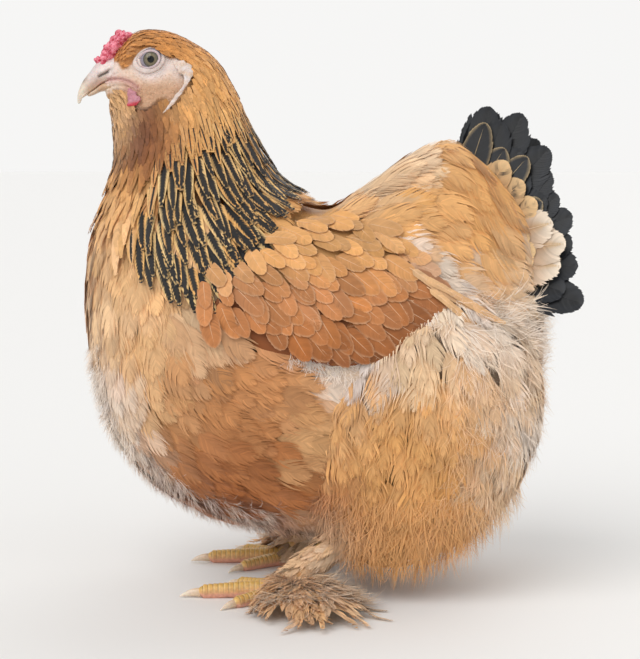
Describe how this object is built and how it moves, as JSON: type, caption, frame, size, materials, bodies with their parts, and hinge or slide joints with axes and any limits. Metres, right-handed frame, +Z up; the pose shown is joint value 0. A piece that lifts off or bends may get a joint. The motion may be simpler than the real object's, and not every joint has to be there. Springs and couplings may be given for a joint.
{
  "type": "brahma chicken",
  "caption": "Life-size still model of a buff Brahma hen standing square, with a striped hackle, a black fanned tail, a pea comb and feathered feet.",
  "frame": {"origin": "centre of the bounding box at floor level", "axes": "+X towards the tail, so the beak points along -X; +Y towards the bird's right side; +Z up"},
  "size_m": [0.3521, 0.3094, 0.3843],
  "materials": {
    "buff_feather": "matte vaned feathers, warm buff",
    "pale_fluff": "matte downy feathers, pale buff",
    "wing_feather": "smooth vaned feathers, orange buff",
    "tail_feather": "smooth black feathers with a slight sheen",
    "bare_skin": "soft bare skin, pale pink",
    "comb_skin": "soft grained skin, pinkish red",
    "horn": "satin horn, pale",
    "eye_brown": "wet gloss, grey brown iris and black pupil",
    "leg_scale": "satin scales, yellow"
  },
  "bodies": {
    "root": {"beak_lower": "horn", "beak_upper": "horn", "claw_hind_left": "horn", "claw_hind_right": "horn", "claw_inner_left": "horn", "claw_inner_right": "horn", "claw_middle_left": "horn", "claw_middle_right": "horn", "claw_outer_left": "horn", "claw_outer_right": "horn", "comb": "comb_skin", "ear_lobe_left": "bare_skin", "ear_lobe_right": "bare_skin", "eye_left": "eye_brown", "eye_right": "eye_brown", "foot_left": "leg_scale", "foot_right": "leg_scale", "head": "bare_skin", "neck": "buff_feather", "shank_left": "leg_scale", "shank_right": "leg_scale", "tail": "tail_feather", "thigh_left": "pale_fluff", "thigh_right": "pale_fluff", "torso": "buff_feather", "wattle_left": "comb_skin", "wattle_right": "comb_skin", "wing_left": "wing_feather", "wing_right": "wing_feather"}
  },
  "joints": []
}
